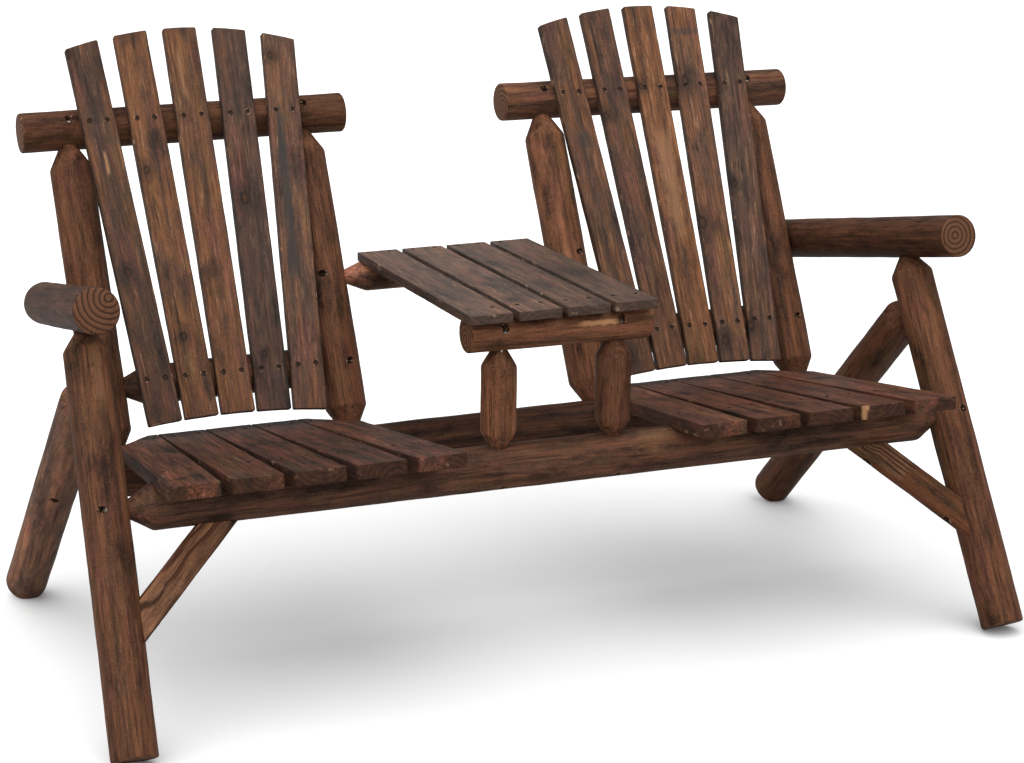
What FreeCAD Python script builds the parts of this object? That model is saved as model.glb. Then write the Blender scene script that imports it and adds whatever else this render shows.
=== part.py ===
import FreeCAD, Part

import math
import os

Vector = FreeCAD.Vector

# Round poles, in millimetres like every size here
POLE_R = 34.0
RAIL_R = 32.0
TABLE_FRONT_POLE_R = 28.5
TABLE_BACK_POLE_R = 26.5
TABLE_POST_R = 28.0
END_CHAMFER = 4.0

# Coned pole ends: length and tip radius, then the extra length that the mate cuts back
CONE_LENGTH = 37.0
LEG_CONE_LENGTH = 31.0
TABLE_CONE_LENGTH = 26.0
CONE_TIP_R = 17.5
TABLE_CONE_TIP_R = 14.0
COPE_ALLOWANCE = 7.0

# Legs: floor points of the axes, lean of the front pair, heights where axes cross
FRONT_FOOT_X = 750.0
FRONT_LEAN_Y = 0.550
FRONT_LEAN_X = 0.034
REAR_FOOT_X = 745.0
REAR_FOOT_Y = 825.0
KNEE_Z = 523.0
ARMREST_Z = 619.4
FRONT_BEAM_Z = 338.0
REAR_BEAM_Z = 288.5
FOOT_TRIM = 4.0

# Backs: the frame of each chair
OUTER_POST_X = 641.5
INNER_POST_X = 228.5
TOP_RAIL_Y = 791.0
TOP_RAIL_Z = 823.0
TOP_RAIL_INNER_X = 152.0
TOP_RAIL_OUTER_X = 721.0
# Measured up the slope from the rear beam
LOWER_RAIL_RISE = 146.0

# Backs: fanned slats, reaching from a point above the rear beam to past the top rail
BACK_SLAT_COUNT = 5
BACK_SLAT_WIDTH = 58.0
BACK_SLAT_THICKNESS = 13.0
BACK_SLAT_TOP = 157.0
BACK_SLAT_FOOT_RISE = 75.0
BACK_PITCH_AT_TOP = 87.5
BACK_PITCH_AT_FOOT = 63.0
BACK_SHIFT_AT_TOP = 3.5
BACK_SHIFT_AT_FOOT = 6.0
BACK_TOP_ARCH_R = 690.0
BACK_FOOT_ARCH_R = 1320.0
RAIL_FLAT = 1.5

# Seats: fanned slats, measured back along the slope from the front beam
SEAT_SLAT_COUNT = 5
SEAT_SLAT_THICKNESS = 22.0
SEAT_SLAT_WIDTH = 80.0
SEAT_FRONT = -144.0
SEAT_BACK = 382.0
SEAT_FRONT_PITCH = 97.3
SEAT_BACK_PITCH = 81.3
SEAT_FRONT_SHIFT = -5.0
SEAT_CORNER_CUT_X = 63.0
SEAT_CORNER_CUT_Y = 92.0
BEAM_FLAT = 2.0

# Armrests, measured along their axes from the front legs
LEFT_ARMREST_FRONT = 145.0
RIGHT_ARMREST_FRONT = 160.0
ARMREST_BACK = 382.0
ARMREST_SLOPE = -0.2005
ARMREST_SADDLE = 1.0

# Table between the chairs, its slats falling a little from front to back
TABLE_TOP_Z = 604.0
TABLE_FALL = 4.8
TABLE_SHIFT_X = -8.0
TABLE_SLAT_COUNT = 4
TABLE_SLAT_WIDTH = 73.0
TABLE_SLAT_PITCH = 83.0
TABLE_SLAT_THICKNESS = 15.0
TABLE_FRONT_Y = 130.0
TABLE_BACK_Y = 662.0
TABLE_FRONT_POLE_Y = 181.0
TABLE_BACK_POLE_Y = 652.0
TABLE_POLE_HALF = 157.0
TABLE_POST_X = 100.0
TABLE_FLAT = 1.0

# Braces under the front beam: round poles with a planed front
BRACE_R = 24.0
BRACE_FLAT_OFFSET = 10.0
BRACE_BEAM_X = 535.0
LEFT_BRACE_UP_LEG = 184.0
RIGHT_BRACE_UP_LEG = 171.0
BRACE_FOOT_FORWARD = 17.0
BRACE_HEAD_FORWARD = -9.0

# Slat corners
CORNER_R = 3.0

# Frame screws, heads sunk in counterbores
SCREW_R = 2.5
SCREW_HEAD_R = 4.5
SCREW_HEAD_HEIGHT = 3.0
SCREW_BORE_R = 5.5
SCREW_SINK = 7.0
SCREW_BORE_REACH = 30.0
TOE_LENGTH = 75.0
TOE_REACH = 50.0
LONG_LENGTH = 95.0
BRACE_SCREW_LENGTH = 55.0
BRACE_SCREW_IN = 60.0
ARM_SCREW_BACK = 28.0
KNEE_SCREW_IN = 68.0
KNEE_SCREW_DROP = 15.0

# Slat screws, two at each crossing
PIN_R = 1.9
PIN_HEAD_R = 3.5
PIN_HEAD_HEIGHT = 1.6
PIN_BORE_R = 4.0
PIN_SINK = 3.0
PIN_GRIP = 22.0
BACK_PIN_OFFSETS = (-15.5, 15.5)
SEAT_PIN_OFFSETS = (-21.0, 21.0)
SEAT_CORNER_PIN_OFFSETS = (-29.0, -13.0)
TABLE_PIN_OFFSETS = (-20.0, 20.0)

SIDES = (("left", -1), ("right", 1))
CHAIR_X = (OUTER_POST_X + INNER_POST_X) / 2
X_AXIS = Vector(1, 0, 0)
Y_AXIS = Vector(0, 1, 0)
Z_AXIS = Vector(0, 0, 1)

nodes = {}
envelopes = {}
cutters = {}


def heading(start, end):
    """The unit direction from one point to another."""
    direction = end - start
    direction.normalize()
    return direction


def square_to(vector, axis):
    """The unit direction nearest to a vector that is square to an axis."""
    flat = vector - axis * vector.dot(axis)
    flat.normalize()
    return flat


def place(shape, origin, x_axis, z_axis):
    """Set a shape drawn at the origin so its X and Z follow the given directions."""
    y_axis = z_axis.cross(x_axis)
    shape.Placement = FreeCAD.Placement(
        FreeCAD.Matrix(
            x_axis.x, y_axis.x, z_axis.x, origin.x,
            x_axis.y, y_axis.y, z_axis.y, origin.y,
            x_axis.z, y_axis.z, z_axis.z, origin.z,
            0, 0, 0, 1,
        )
    )
    return shape


def rod(origin, direction, start, end, radius):
    return Part.makeCylinder(radius, end - start, origin + direction * start, direction)


def turned(profile, origin, direction):
    """A turned solid from (distance along the axis, radius) pairs."""
    axis_start = Vector(0, 0, profile[0][0])
    axis_end = Vector(0, 0, profile[-1][0])
    rim = [Vector(radius, 0, along) for along, radius in profile]
    face = Part.Face(Part.makePolygon([axis_start, *rim, axis_end, axis_start]))
    solid = face.revolve(Vector(0, 0, 0), Z_AXIS, 360)
    guide = Vector(0, 1, 0) if abs(direction.x) > 0.9 else X_AXIS
    return place(solid, origin, square_to(guide, direction), direction)


def square_end(radius):
    """A sawn end with its rim chamfered, as (distance past the end point, radius) pairs."""
    return [(-END_CHAMFER, radius), (0, radius - END_CHAMFER)]


def coned_end(radius, tip_r, length, gap):
    """A cone whose tip stands one gap short of the crossing, run on for the mate to cut."""
    slope = (radius - tip_r) / length
    return [(-gap - length, radius), (COPE_ALLOWANCE - gap, tip_r - slope * COPE_ALLOWANCE)]


def pole(name, start, end, radius, start_end, far_end):
    """A turned pole between two points, kept with its full round for the mates to fit to."""
    span = start.distanceToPoint(end)
    profile = [(-past, r) for past, r in reversed(start_end)]
    profile += [(span + past, r) for past, r in far_end]
    nodes[name] = turned(profile, start, heading(start, end))
    envelopes[name] = rod(start, heading(start, end), 0, span, radius)


def cut(name, shape):
    cutters.setdefault(name, []).append(shape)


def butt(name, *mates):
    """Cut the end of a member to the round of each pole it stands against."""
    for mate in mates:
        cut(name, envelopes[mate])


def screw(group, seat, direction, length, sizes, members):
    """A screw through the first member into the second, sunk in a counterbore."""
    shank_r, head_r, head_height, bore_r, bore_reach = sizes
    profile = [(-head_height, head_r), (0, head_r), (0, shank_r), (length, shank_r)]
    nodes.setdefault(group, []).append(turned(profile, seat, direction))
    cut(members[0], rod(seat, direction, -bore_reach, 0, bore_r))
    for name in members:
        cut(name, rod(seat, direction, 0, length, shank_r))


def toe_screw(group, centre, outward, radius, aim, length, through, into):
    """A frame screw from a pole's outward side, aimed at a point in its mate."""
    sizes = (SCREW_R, SCREW_HEAD_R, SCREW_HEAD_HEIGHT, SCREW_BORE_R, SCREW_BORE_REACH)
    seat = centre + outward * (radius - SCREW_SINK)
    screw(group, seat, heading(seat, aim), length, sizes, (through, into))


def slat_screws(group, centre, offsets, down, thickness, slat, support):
    """A row of slat screws across a slat's face, down into the pole that carries it."""
    sizes = (PIN_R, PIN_HEAD_R, PIN_HEAD_HEIGHT, PIN_BORE_R, 2 * PIN_SINK)
    length = thickness - PIN_SINK + PIN_GRIP
    for offset in offsets:
        seat = centre + X_AXIS * offset + down * PIN_SINK
        screw(group, seat, down, length, sizes, (slat, support))


def board(outline, thickness):
    """A board lying on the XY plane, from the corners of its outline."""
    corners = [Vector(x, y, 0) for x, y in outline]
    face = Part.Face(Part.makePolygon([*corners, corners[0]]))
    return face.extrude(Z_AXIS * thickness)


def ease_corners(shape):
    """Round the edges of a lying board that run through its thickness."""
    upright = []
    for edge in shape.Edges:
        if isinstance(edge.Curve, Part.Line) and abs(edge.Curve.Direction.z) > 0.5:
            upright.append(edge)
    return shape.makeFillet(CORNER_R, upright)


def fan(count):
    """Slat numbers from 1, with their places counted from the middle slat."""
    return [(i + 1, i - (count - 1) / 2) for i in range(count)]


def blend(first, last, share):
    return first + (last - first) * share


# Slopes of the front legs and the back, and the middle of the bench front to back
def foot_rise(axis):
    """Distance up a leg's axis to its square-cut foot, low edge trimmed by the floor."""
    tilt = math.sqrt(1 - axis.z**2)
    return (POLE_R * tilt - FOOT_TRIM) / axis.z


front_up = heading(Vector(0, 0, 0), Vector(-FRONT_LEAN_X, FRONT_LEAN_Y, 1))
rear_beam_y = blend(REAR_FOOT_Y, FRONT_LEAN_Y * KNEE_Z, REAR_BEAM_Z / KNEE_Z)
back_up = heading(Vector(0, rear_beam_y, REAR_BEAM_Z), Vector(0, TOP_RAIL_Y, TOP_RAIL_Z))
back_front = X_AXIS.cross(back_up)
foremost = front_up.y * foot_rise(front_up) - POLE_R * math.sqrt(1 - front_up.y**2)
rearmost = TOP_RAIL_Y + back_up.y * BACK_SLAT_TOP + back_front.y * (RAIL_R - RAIL_FLAT)
MIDDLE_Y = (foremost + rearmost) / 2


def at(x, y, z):
    return Vector(x, y - MIDDLE_Y, z)


def front_leg_point(side, z):
    return at(side * (FRONT_FOOT_X - FRONT_LEAN_X * z), FRONT_LEAN_Y * z, z)


def rear_leg_point(side, z):
    foot = at(side * REAR_FOOT_X, REAR_FOOT_Y, 0)
    return blend(foot, front_leg_point(side, KNEE_Z), z / KNEE_Z)


# Beams from leg to leg
beam_cone = coned_end(POLE_R, CONE_TIP_R, CONE_LENGTH, POLE_R)
for name, axis_point, z in (
    ("front_beam", front_leg_point, FRONT_BEAM_Z),
    ("rear_beam", rear_leg_point, REAR_BEAM_Z),
):
    pole(name, axis_point(-1, z), axis_point(1, z), POLE_R, beam_cone, beam_cone)

front_beam_mid = blend(front_leg_point(-1, FRONT_BEAM_Z), front_leg_point(1, FRONT_BEAM_Z), 0.5)
rear_beam_mid = blend(rear_leg_point(-1, REAR_BEAM_Z), rear_leg_point(1, REAR_BEAM_Z), 0.5)
back_rise = (TOP_RAIL_Z - REAR_BEAM_Z) / back_up.z

# Back posts, standing on the rear beam


def post_point(x, rise):
    """A point in the plane of the posts, so far up the slope from the rear beam."""
    return rear_beam_mid + X_AXIS * x + back_up * rise


rail_cone = coned_end(POLE_R, CONE_TIP_R, CONE_LENGTH, RAIL_R)
for name, side in SIDES:
    for spot, x in (("outer", OUTER_POST_X), ("inner", INNER_POST_X)):
        post = f"{name}_{spot}_post"
        foot = post_point(side * x, 0)
        top = post_point(side * x, back_rise)
        pole(post, foot, top, POLE_R, beam_cone, rail_cone)
        butt(post, "rear_beam")
        aim = foot + back_up * TOE_REACH
        screws = "back_frame_screws"
        toe_screw(screws, foot, back_up * -1, POLE_R, aim, LONG_LENGTH, "rear_beam", post)

# Legs and armrests
ground_half = 2 * FRONT_FOOT_X
ground_corner = Vector(-ground_half, -ground_half, -POLE_R)
ground = Part.makeBox(2 * ground_half, 2 * ground_half, POLE_R, ground_corner)
screws = "leg_frame_screws"
arm_front = {"left": LEFT_ARMREST_FRONT, "right": RIGHT_ARMREST_FRONT}
brace_height = {"left": LEFT_BRACE_UP_LEG, "right": RIGHT_BRACE_UP_LEG}
for name, side in SIDES:
    leg = f"{name}_front_leg"
    rear_leg = f"{name}_rear_leg"
    arm = f"{name}_armrest"
    post = f"{name}_outer_post"
    inward = X_AXIS * -side

    foot = front_leg_point(side, 0)
    knee = front_leg_point(side, KNEE_Z)
    hand = front_leg_point(side, ARMREST_Z)
    rear_foot = rear_leg_point(side, 0)
    up = heading(foot, hand)
    rear = heading(rear_foot, knee)

    post_mid = post_point(side * OUTER_POST_X, back_rise / 2)
    touch = post_mid - inward * (2 * POLE_R - ARMREST_SADDLE)
    touch.z = hand.z + (touch.y - hand.y) * ARMREST_SLOPE
    back = heading(hand, touch)
    sawn = square_end(POLE_R)
    pole(arm, hand - back * arm_front[name], hand + back * ARMREST_BACK, POLE_R, sawn, sawn)
    butt(arm, post)

    cone = coned_end(POLE_R, CONE_TIP_R, LEG_CONE_LENGTH, POLE_R / up.cross(back).Length)
    pole(leg, foot, hand, POLE_R, [(-foot_rise(up), POLE_R)], cone)
    cut(leg, ground)
    butt(leg, arm)
    cone = coned_end(POLE_R, CONE_TIP_R, LEG_CONE_LENGTH, POLE_R / up.cross(rear).Length)
    pole(rear_leg, rear_foot, knee, POLE_R, [(-foot_rise(rear), POLE_R)], cone)
    cut(rear_leg, ground)
    butt(rear_leg, leg)
    butt("front_beam", leg)
    butt("rear_beam", rear_leg)

    joint = front_leg_point(side, FRONT_BEAM_Z)
    aim = joint + inward * TOE_REACH
    toe_screw(screws, joint, X_AXIS.cross(up), POLE_R, aim, TOE_LENGTH, leg, "front_beam")
    joint = rear_leg_point(side, REAR_BEAM_Z)
    aim = joint + inward * TOE_REACH
    toe_screw(screws, joint, X_AXIS.cross(rear), POLE_R, aim, TOE_LENGTH, rear_leg, "rear_beam")
    start = knee - rear * KNEE_SCREW_IN
    aim = knee - up * KNEE_SCREW_DROP
    toe_screw(screws, start, rear.cross(X_AXIS), POLE_R, aim, TOE_LENGTH, rear_leg, leg)
    start = hand + back * ARM_SCREW_BACK
    aim = hand - up * TOE_REACH
    toe_screw(screws, start, square_to(up, back), POLE_R, aim, LONG_LENGTH, arm, leg)
    outward = square_to(inward + Y_AXIS, back_up)
    toe_screw(screws, post_mid, outward, POLE_R, touch, LONG_LENGTH, post, arm)

    # Brace from the front of the leg to the underside of the beam
    brace = f"{name}_brace"
    forward = X_AXIS.cross(up)
    low = foot + up * brace_height[name] + forward * BRACE_FOOT_FORWARD
    high = front_beam_mid - inward * BRACE_BEAM_X + forward * BRACE_HEAD_FORWARD
    along = heading(low, high)
    span = low.distanceToPoint(high)
    face = square_to(forward, along)
    corner = Vector(-2 * BRACE_R, BRACE_FLAT_OFFSET, 0)
    front_wood = Part.makeBox(4 * BRACE_R, 4 * BRACE_R, span, corner)
    nodes[brace] = rod(low, along, 0, span, BRACE_R)
    cut(brace, place(front_wood, low, face.cross(along), along))
    butt(brace, leg, "front_beam")
    under = square_to(inward - up, along)
    start = low + along * BRACE_SCREW_IN
    aim = foot + up * (brace_height[name] + BRACE_SCREW_IN / 2)
    toe_screw(screws, start, under, BRACE_R, aim, BRACE_SCREW_LENGTH, brace, leg)
    start = high - along * BRACE_SCREW_IN
    aim = front_beam_mid - inward * (BRACE_BEAM_X + BRACE_SCREW_IN / 2)
    toe_screw(screws, start, under, BRACE_R, aim, BRACE_SCREW_LENGTH, brace, "front_beam")

# Rails and slats of each back
screws = "back_frame_screws"
for name, side in SIDES:
    top_rail = f"{name}_top_rail"
    inner_end = post_point(side * TOP_RAIL_INNER_X, back_rise)
    outer_end = post_point(side * TOP_RAIL_OUTER_X, back_rise)
    sawn = square_end(RAIL_R)
    pole(top_rail, inner_end, outer_end, RAIL_R, sawn, sawn)

    low_rail = f"{name}_lower_back_rail"
    inner_joint = post_point(side * INNER_POST_X, LOWER_RAIL_RISE)
    outer_joint = post_point(side * OUTER_POST_X, LOWER_RAIL_RISE)
    rail_end = coned_end(RAIL_R, CONE_TIP_R, CONE_LENGTH, POLE_R)
    pole(low_rail, inner_joint, outer_joint, RAIL_R, rail_end, rail_end)

    for spot, x in (("outer", OUTER_POST_X), ("inner", INNER_POST_X)):
        post = f"{name}_{spot}_post"
        butt(post, top_rail)
        butt(low_rail, post)
        joint = post_point(side * x, back_rise)
        aim = joint - back_up * TOE_REACH
        toe_screw(screws, joint, back_front, RAIL_R, aim, TOE_LENGTH, top_rail, post)
        joint = post_point(side * x, LOWER_RAIL_RISE)
        aim = joint + X_AXIS * math.copysign(TOE_REACH, side * (CHAIR_X - x))
        toe_screw(screws, joint, back_front, POLE_R, aim, TOE_LENGTH, post, low_rail)

    # Slat frame: X along the rail, Y up the slope, Z out of the front
    origin = post_point(side * CHAIR_X, back_rise) + back_front * (RAIL_R - RAIL_FLAT)
    foot_s = BACK_SLAT_FOOT_RISE - back_rise
    for number, k in fan(BACK_SLAT_COUNT):
        slat = f"{name}_back_slat_{number}"
        top_x = k * BACK_PITCH_AT_TOP + BACK_SHIFT_AT_TOP
        foot_x = k * BACK_PITCH_AT_FOOT + BACK_SHIFT_AT_FOOT
        half = BACK_SLAT_WIDTH / 2
        # Drawn past both ends, then trimmed to the two arches
        lean = (top_x - foot_x) / (BACK_SLAT_TOP - foot_s)
        high_s = BACK_SLAT_TOP + BACK_SLAT_WIDTH
        low_s = foot_s - BACK_SLAT_WIDTH
        high_x = top_x + lean * BACK_SLAT_WIDTH
        low_x = foot_x - lean * BACK_SLAT_WIDTH
        outline = [
            (low_x - half, low_s),
            (low_x + half, low_s),
            (high_x + half, high_s),
            (high_x - half, high_s),
        ]
        blank = board(outline, BACK_SLAT_THICKNESS)
        top_arch = Part.makeCylinder(
            BACK_TOP_ARCH_R, BACK_SLAT_THICKNESS, Vector(0, BACK_SLAT_TOP - BACK_TOP_ARCH_R, 0)
        )
        foot_arch = Part.makeCylinder(
            BACK_FOOT_ARCH_R, BACK_SLAT_THICKNESS, Vector(0, foot_s - BACK_FOOT_ARCH_R, 0)
        )
        shape = ease_corners(blank.common(top_arch).cut(foot_arch))
        nodes[slat] = place(shape, origin, X_AXIS, back_front)
        for rail, s in ((top_rail, 0), (low_rail, LOWER_RAIL_RISE - back_rise)):
            cut(rail, nodes[slat].copy())
            x = top_x + lean * (s - BACK_SLAT_TOP)
            centre = origin + back_front * BACK_SLAT_THICKNESS + X_AXIS * x + back_up * s
            slat_screws(
                f"{name}_back_slat_screws", centre, BACK_PIN_OFFSETS, back_front * -1,
                BACK_SLAT_THICKNESS, slat, rail,
            )

# Seat slats, lying on both beams
seat_back = heading(front_beam_mid, rear_beam_mid)
seat_up = X_AXIS.cross(seat_back)
rear_beam_t = front_beam_mid.distanceToPoint(rear_beam_mid)
for name, side in SIDES:
    origin = front_beam_mid + X_AXIS * side * CHAIR_X + seat_up * (POLE_R - BEAM_FLAT)
    for number, k in fan(SEAT_SLAT_COUNT):
        slat = f"{name}_seat_slat_{number}"
        front_x = k * SEAT_FRONT_PITCH + SEAT_FRONT_SHIFT
        back_x = k * SEAT_BACK_PITCH
        half = SEAT_SLAT_WIDTH / 2
        outline = [
            (front_x - half, SEAT_FRONT),
            (front_x + half, SEAT_FRONT),
            (back_x + half, SEAT_BACK),
            (back_x - half, SEAT_BACK),
        ]
        outermost = number in (1, SEAT_SLAT_COUNT)
        if outermost:
            # The back corner beside the post is sawn off
            share = SEAT_CORNER_CUT_Y / (SEAT_BACK - SEAT_FRONT)
            edge_x = blend(abs(back_x), abs(front_x), share) + half
            cut_x = abs(back_x) + half - SEAT_CORNER_CUT_X
            corner = [(cut_x, SEAT_BACK), (edge_x, SEAT_BACK - SEAT_CORNER_CUT_Y)]
            if k > 0:
                outline[2:3] = [corner[1], corner[0]]
            else:
                outline[3:4] = [(-x, t) for x, t in corner]
        shape = ease_corners(board(outline, SEAT_SLAT_THICKNESS))
        nodes[slat] = place(shape, origin, X_AXIS, seat_up)
        for beam, t in (("front_beam", 0), ("rear_beam", rear_beam_t)):
            cut(beam, nodes[slat].copy())
            share = (t - SEAT_FRONT) / (SEAT_BACK - SEAT_FRONT)
            x = blend(front_x, back_x, share)
            offsets = SEAT_PIN_OFFSETS
            if outermost and t:
                offsets = [math.copysign(offset, offset * k) for offset in SEAT_CORNER_PIN_OFFSETS]
            centre = origin + seat_up * SEAT_SLAT_THICKNESS + X_AXIS * x + seat_back * t
            slat_screws(
                f"{name}_seat_slat_screws", centre, offsets, seat_up * -1,
                SEAT_SLAT_THICKNESS, slat, beam,
            )

# Table poles and posts, the poles tangent to the underside of the slats
table_run = TABLE_BACK_Y - TABLE_FRONT_Y
table_back = heading(Vector(0, 0, 0), Vector(0, table_run, -TABLE_FALL))
table_up = X_AXIS.cross(table_back)
table_origin = at(TABLE_SHIFT_X, TABLE_FRONT_Y, TABLE_TOP_Z) - table_up * TABLE_SLAT_THICKNESS


def table_pole_centre(y, radius):
    """The middle of a pole under the table slats, at a distance from the front of the bench."""
    under = table_origin + table_back * ((y - TABLE_FRONT_Y) / table_back.y)
    under.x = 0
    return under - table_up * (radius - TABLE_FLAT)


screws = "table_frame_screws"
front_pole = "table_front_pole"
front_centre = table_pole_centre(TABLE_FRONT_POLE_Y, TABLE_FRONT_POLE_R)
sawn = square_end(TABLE_FRONT_POLE_R)
reach = X_AXIS * TABLE_POLE_HALF
pole(front_pole, front_centre - reach, front_centre + reach, TABLE_FRONT_POLE_R, sawn, sawn)

back_pole = "table_back_pole"
back_centre = table_pole_centre(TABLE_BACK_POLE_Y, TABLE_BACK_POLE_R)
cone = coned_end(TABLE_BACK_POLE_R, TABLE_CONE_TIP_R, CONE_LENGTH, POLE_R)
reach = X_AXIS * INNER_POST_X
pole(back_pole, back_centre - reach, back_centre + reach, TABLE_BACK_POLE_R, cone, cone)

for name, side in SIDES:
    post = f"table_{name}_post"
    foot = front_beam_mid + X_AXIS * side * TABLE_POST_X
    top = front_centre + X_AXIS * side * TABLE_POST_X
    foot_cone = coned_end(TABLE_POST_R, TABLE_CONE_TIP_R, TABLE_CONE_LENGTH, POLE_R)
    top_cone = coned_end(TABLE_POST_R, TABLE_CONE_TIP_R, TABLE_CONE_LENGTH, TABLE_FRONT_POLE_R)
    pole(post, foot, top, TABLE_POST_R, foot_cone, top_cone)
    butt(post, "front_beam", front_pole)
    aim = foot + Z_AXIS * TOE_REACH
    outward = (Y_AXIS + Z_AXIS).normalize() * -1
    toe_screw(screws, foot, outward, POLE_R, aim, LONG_LENGTH, "front_beam", post)
    aim = top - Z_AXIS * TOE_REACH
    toe_screw(screws, top, Y_AXIS * -1, TABLE_FRONT_POLE_R, aim, TOE_LENGTH, front_pole, post)

    inner_post = f"{name}_inner_post"
    butt(back_pole, inner_post)
    joint = post_point(side * INNER_POST_X, (back_centre.z - REAR_BEAM_Z) / back_up.z)
    aim = back_centre + X_AXIS * side * (INNER_POST_X - TOE_REACH)
    toe_screw(screws, joint, back_front, POLE_R, aim, TOE_LENGTH, inner_post, back_pole)

# Table slats
supports = ((front_pole, TABLE_FRONT_POLE_Y), (back_pole, TABLE_BACK_POLE_Y))
for number, k in fan(TABLE_SLAT_COUNT):
    slat = f"table_slat_{number}"
    x = k * TABLE_SLAT_PITCH
    left = x - TABLE_SLAT_WIDTH / 2
    right = x + TABLE_SLAT_WIDTH / 2
    length = table_run / table_back.y
    outline = [(left, 0), (right, 0), (right, length), (left, length)]
    shape = ease_corners(board(outline, TABLE_SLAT_THICKNESS))
    nodes[slat] = place(shape, table_origin, X_AXIS, table_up)
    for support, y in supports:
        cut(support, nodes[slat].copy())
        along = table_back * ((y - TABLE_FRONT_Y) / table_back.y)
        centre = table_origin + X_AXIS * x + along + table_up * TABLE_SLAT_THICKNESS
        slat_screws(
            "table_slat_screws", centre, TABLE_PIN_OFFSETS, table_up * -1,
            TABLE_SLAT_THICKNESS, slat, support,
        )

# Cut every fit, then write one file for each node
for name, tools in cutters.items():
    nodes[name] = nodes[name].cut(tools)

os.makedirs("parts", exist_ok=True)
for name, shape in nodes.items():
    if isinstance(shape, list):
        shape = Part.makeCompound(shape)
    elif len(shape.Solids) == 1:
        shape = shape.Solids[0]
    if not shape.isValid() or not shape.Solids:
        raise ValueError(f"{name} is not a sound solid")
    shape.exportStep(f"parts/{name}.step")
    print(name, len(shape.Solids), round(shape.Volume))
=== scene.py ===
import math
import random

import bmesh
import bpy
import numpy as np
from mathutils import Euler, Matrix, Vector


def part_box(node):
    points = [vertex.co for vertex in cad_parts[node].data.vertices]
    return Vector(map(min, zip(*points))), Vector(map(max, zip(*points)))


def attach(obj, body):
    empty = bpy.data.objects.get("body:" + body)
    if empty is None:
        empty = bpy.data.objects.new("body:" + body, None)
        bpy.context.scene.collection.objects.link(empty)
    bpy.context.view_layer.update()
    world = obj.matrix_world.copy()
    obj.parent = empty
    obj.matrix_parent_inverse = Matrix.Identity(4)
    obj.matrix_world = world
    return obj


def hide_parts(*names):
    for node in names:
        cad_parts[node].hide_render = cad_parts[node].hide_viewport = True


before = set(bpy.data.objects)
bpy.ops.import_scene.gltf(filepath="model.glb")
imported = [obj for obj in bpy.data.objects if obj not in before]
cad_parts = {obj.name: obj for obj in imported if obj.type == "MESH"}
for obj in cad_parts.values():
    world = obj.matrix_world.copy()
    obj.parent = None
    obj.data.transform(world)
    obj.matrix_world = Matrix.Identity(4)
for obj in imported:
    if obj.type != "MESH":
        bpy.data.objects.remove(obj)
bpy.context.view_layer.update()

# Camera, solved from the photograph's straight edges, in metres and degrees
CAMERA_AT = Vector((-1.5175, -3.65342, 1.4904))
CAMERA_YAW = -21.543
CAMERA_PITCH = -14.972
CAMERA_ROLL = -0.07
CAMERA_REACH = 60
LENS_PX = 2430.9
PHOTO_W = 1024
PHOTO_H = 763
CENTRE_PX = (461.6, 371.1)
SENSOR_W = 36.0

# Floor and light
FLOOR_SIZE = 60
FLOOR_GREY = 0.50
SKY_STRENGTH = 0.86
LAMP_POWER = 6.7
LAMP_SPREAD = 110
LAMP_TILT = 26
LAMP_TURN = -40

# Sizes of the woodwork in the scene, in metres
POLE_SIDES = 64
COPE_BITE = 0.0006
CONE_SLOPES = (0.2, 0.9)
CONE_RUN_ON = 0.007
SHOULDER_R = 0.0035
END_ROUND = 0.0035
RING_STEP = 0.016
RING_MARGIN = 0.004
BOARD_STEP = 0.018
BOARD_MARGIN = 0.006
BOARD_LANE = 0.010
BOARD_ROUND = 0.0012
RIM_BAND = 0.0034
BRACE_LAP = 0.006

# Sizes of the screws and of the holes over their heads
HEAD_R = 0.0045
HEAD_HEIGHT = 0.003
HEAD_ROUND = 0.0007
HEAD_SIDES = 24
HEAD_LIFT = 0.0042
RECESS = (0.0048, 0.0011, 0.003)
SHANK_R = 0.0025
SHANK_SIDES = 16
FRAME_BORE_R = 0.0055
SLAT_BORE_R = 0.0040
BORE_SIDES = 20
BORE_BELOW = 0.003
BORE_ABOVE = 0.03
HEAD_MARGIN = 0.004
HOLE_REACH = 0.12

# How uneven the worked wood is: how wide its lumps are and how high
POLE_SWELLS = (0.09, 0.0018)
POLE_LUMPS = (0.018, 0.0005)
BOARD_LUMPS = (0.035, 0.0012)

# How close two places are that count as one, and how far a reading of the CAD may be off
WELD = 0.00001
TOUCH = 0.0001
SKIN_SLACK = 0.0002
RIM_SLACK = 0.0006
CONE_CLEAR = 0.003
CONE_DROP = 0.002
BORE_SLACK = 0.001
HOLE_SLACK = 0.0008

# Angles between faces, in radians, and the area of a face that is a board's front or back
SMOOTH_ANGLE = math.radians(38)
FLAT_ANGLE = math.radians(0.6)
CORNER_ANGLE = 0.8
RIM_ANGLE = 1.0
BROAD_FACE = 0.002

camera_data = bpy.data.cameras.new("photo_camera")
camera = bpy.data.objects.new("photo_camera", camera_data)
bpy.context.scene.collection.objects.link(camera)
bpy.context.scene.camera = camera
camera_data.sensor_width = SENSOR_W
camera_data.lens = LENS_PX * SENSOR_W / PHOTO_W
camera_data.shift_x = (PHOTO_W / 2 - CENTRE_PX[0]) / PHOTO_W
camera_data.shift_y = (CENTRE_PX[1] - PHOTO_H / 2) / PHOTO_W
camera_data.clip_end = CAMERA_REACH
aim = Euler((math.radians(90 + CAMERA_PITCH), 0, math.radians(CAMERA_YAW))).to_matrix()
aim = aim @ Matrix.Rotation(math.radians(CAMERA_ROLL), 3, "Z")
camera.matrix_world = Matrix.Translation(CAMERA_AT) @ aim.to_4x4()


def activate(piece):
    bpy.ops.object.select_all(action="DESELECT")
    piece.select_set(True)
    bpy.context.view_layer.objects.active = piece


def edit(piece):
    activate(piece)
    bpy.ops.object.mode_set(mode="EDIT")


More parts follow.
